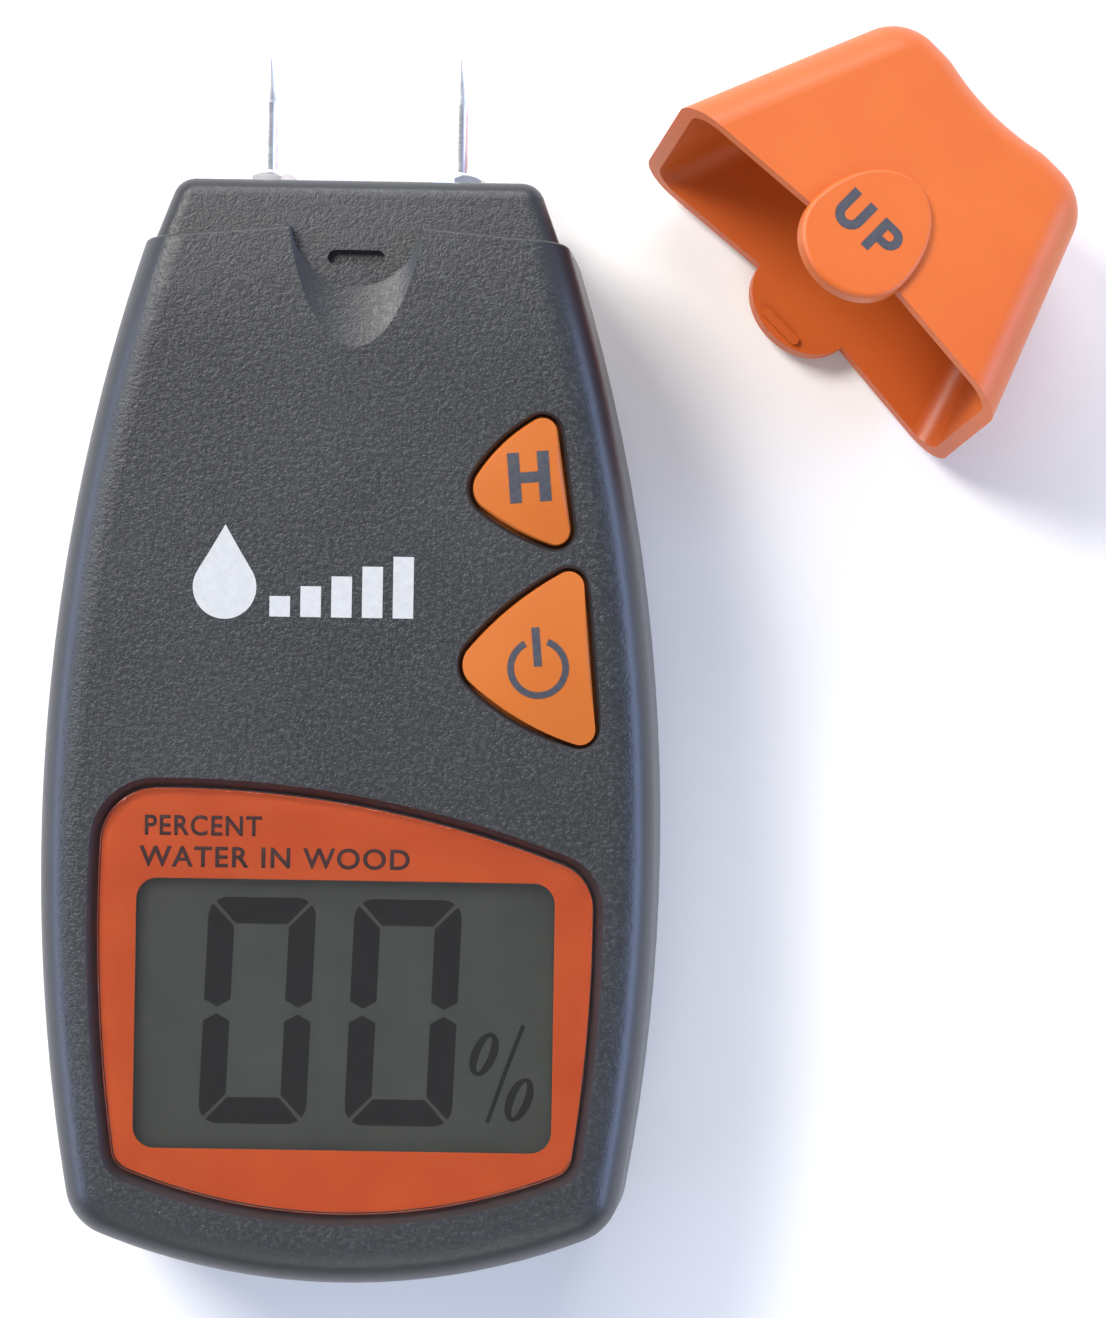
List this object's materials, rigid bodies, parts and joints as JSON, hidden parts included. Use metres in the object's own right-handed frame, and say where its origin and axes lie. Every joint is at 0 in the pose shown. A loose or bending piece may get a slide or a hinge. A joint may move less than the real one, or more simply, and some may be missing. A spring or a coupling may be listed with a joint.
{
  "type": "moisture meter",
  "caption": "Hand-held pin moisture meter with a display, two keys, sliding battery door and a loose push-on pin cap lying beside it.",
  "frame": {"origin": "on the rear rest plane, on the housing's centre line, at the middle of the housing's length (needles and cap not counted)", "axes": "+Y towards the needles, +Z out of the display face, +X to the right of the display; the meter lies on its back"},
  "size_m": [0.1031, 0.1268, 0.0273],
  "materials": {
    "body_abs": "black ABS with a spark-eroded grain",
    "orange_plastic": "orange ABS, fine satin",
    "plated_steel": "bright nickel plate on turned steel",
    "brass": "tinned brass",
    "black_lead": "PVC insulation",
    "red_lead": "PVC insulation",
    "clear_lens": "clear moulded acrylic, gloss",
    "orange_print": "orange printed adhesive sheet",
    "lcd_glass": "polarised display glass",
    "reflector": "diffuse foil",
    "frame_plastic": "natural nylon",
    "zebra_rubber": "layered silicone",
    "switch_metal": "pressed steel",
    "board": "green solder resist",
    "chip_plastic": "moulded epoxy",
    "battery_case": "plain printed can",
    "snap_plastic": "soft vinyl",
    "foam": "closed-cell foam",
    "insulator": "polyimide film",
    "screw_steel": "zinc plated steel"
  },
  "bodies": {
    "housing": {"front_cover": "body_abs", "rear_cover": "body_abs", "left_electrode": "plated_steel", "right_electrode": "plated_steel", "outer_nuts": "plated_steel", "inner_nuts": "plated_steel", "solder_tags": "brass", "electrode_leads": "black_lead", "display_lens": "clear_lens", "lens_backing": "orange_print", "display_front_glass": "lcd_glass", "display_rear_glass": "lcd_glass", "display_reflector": "reflector", "display_frame": "frame_plastic", "zebra_strips": "zebra_rubber", "key_switches": "switch_metal", "circuit_board": "board", "processor": "chip_plastic", "crystal": "switch_metal", "chips": "chip_plastic", "battery": "battery_case", "battery_terminals": "switch_metal", "battery_snap": "snap_plastic", "red_battery_lead": "red_lead", "black_battery_lead": "black_lead", "end_foam": "foam", "board_insulator": "insulator", "case_screws": "screw_steel", "board_screws": "screw_steel"},
    "hold_key": {"hold_button": "orange_plastic", "hold_plunger": "frame_plastic"},
    "power_key": {"power_button": "orange_plastic", "power_plunger": "frame_plastic"},
    "door": {"battery_door": "body_abs"},
    "loose_cap": {"cap": "orange_plastic"}
  },
  "joints": [
    {"name": "hold_press", "type": "slide", "parent": "housing", "child": "hold_key", "axis": [0, 0, -1], "range_m": [0, 0.0004], "stiffness_N_per_m": 400, "springref_m": -0.001},
    {"name": "power_press", "type": "slide", "parent": "housing", "child": "power_key", "axis": [0, 0, -1], "range_m": [0, 0.0004], "stiffness_N_per_m": 400, "springref_m": -0.001},
    {"name": "battery_door_slide", "type": "slide", "parent": "housing", "child": "door", "axis": [0, -1, 0], "range_m": [0, 0.062]},
    {"name": "cap_lift", "type": "slide", "parent": "housing", "child": "loose_cap", "axis": [0, 0, 1], "range_m": [0, 0.04]}
  ]
}
